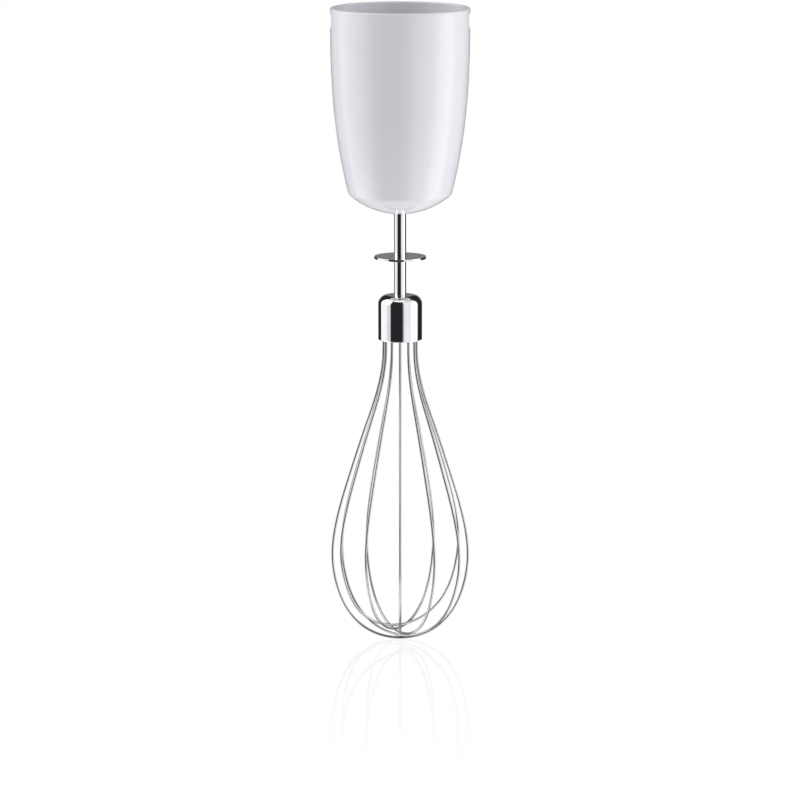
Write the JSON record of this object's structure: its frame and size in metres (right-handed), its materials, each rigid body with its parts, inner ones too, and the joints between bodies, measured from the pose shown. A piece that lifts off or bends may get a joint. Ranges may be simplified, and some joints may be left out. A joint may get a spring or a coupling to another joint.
{
  "type": "immersion blender whisk attachment",
  "caption": "Balloon whisk attachment for a hand-held immersion blender: a tapered gear case with a motor socket, a planetary reduction and a pull-out wire whisk.",
  "frame": {"origin": "centre of the motor socket's mouth, in the plane of the case's rim", "axes": "+Z along the turning axis, out of the socket towards the motor body; the whisk hangs along -Z; the latch windows are at +X and -X"},
  "size_m": [0.0578, 0.0578, 0.2661],
  "materials": {
    "white_shell": "glossy white moulded plastic",
    "grey_plastic": "satin grey moulded plastic",
    "black_plastic": "satin black moulded plastic",
    "acetal": "natural white gear plastic with a film of grease",
    "rubber": "black nitrile rubber",
    "bronze": "sintered bronze",
    "steel": "machined steel",
    "chrome": "polished stainless steel and chrome plate"
  },
  "bodies": {
    "gear_case": {"outer_case": "white_shell", "gearbox_housing": "grey_plastic", "gearbox_cover": "grey_plastic", "cover_o_ring": "rubber", "cover_screw_1": "steel", "cover_screw_2": "steel", "cover_screw_3": "steel", "ring_gear": "acetal", "input_bush": "bronze", "output_bush": "bronze", "shaft_seal": "rubber"},
    "input_stage": {"drive_coupling": "black_plastic", "input_shaft": "steel", "input_circlip": "steel", "sun_gear": "steel"},
    "output_stage": {"planet_carrier": "steel", "output_spindle": "steel", "thrust_washer": "acetal", "planet_pin_1": "steel", "planet_pin_2": "steel", "planet_pin_3": "steel", "retaining_clip": "steel"},
    "planet_1": {"planet_gear_1": "acetal"},
    "planet_2": {"planet_gear_2": "acetal"},
    "planet_3": {"planet_gear_3": "acetal"},
    "whisk": {"whisk_shaft": "chrome", "release_disc": "chrome", "ferrule": "chrome", "wire_hub": "black_plastic", "hub_pin": "steel", "wire_loop_1": "chrome", "wire_loop_2": "chrome", "wire_loop_3": "chrome", "wire_loop_4": "chrome", "wire_loop_5": "chrome", "wire_loop_6": "chrome"}
  },
  "joints": [
    {"name": "output_spin", "type": "hinge", "parent": "gear_case", "child": "output_stage", "pos_m": [0, 0, -0.07], "axis": [0, 0, 1], "continuous": true},
    {"name": "input_spin", "type": "hinge", "parent": "gear_case", "child": "input_stage", "pos_m": [0, 0, -0.042], "axis": [0, 0, 1], "continuous": true},
    {"name": "planet_1_spin", "type": "hinge", "parent": "output_stage", "child": "planet_1", "pos_m": [0, 0.0099, -0.05075], "axis": [0, 0, 1], "continuous": true},
    {"name": "planet_2_spin", "type": "hinge", "parent": "output_stage", "child": "planet_2", "pos_m": [-0.00857, -0.00495, -0.05075], "axis": [0, 0, 1], "continuous": true},
    {"name": "planet_3_spin", "type": "hinge", "parent": "output_stage", "child": "planet_3", "pos_m": [0.00857, -0.00495, -0.05075], "axis": [0, 0, 1], "continuous": true},
    {"name": "whisk_pull", "type": "slide", "parent": "output_stage", "child": "whisk", "axis": [0, 0, -1], "range_m": [0, 0.03]}
  ],
  "couplings": [
    {"joint": "input_spin", "follows": "output_spin", "ratio": 5.5},
    {"joint": "planet_1_spin", "follows": "output_spin", "ratio": -2.5714},
    {"joint": "planet_2_spin", "follows": "output_spin", "ratio": -2.5714},
    {"joint": "planet_3_spin", "follows": "output_spin", "ratio": -2.5714}
  ]
}
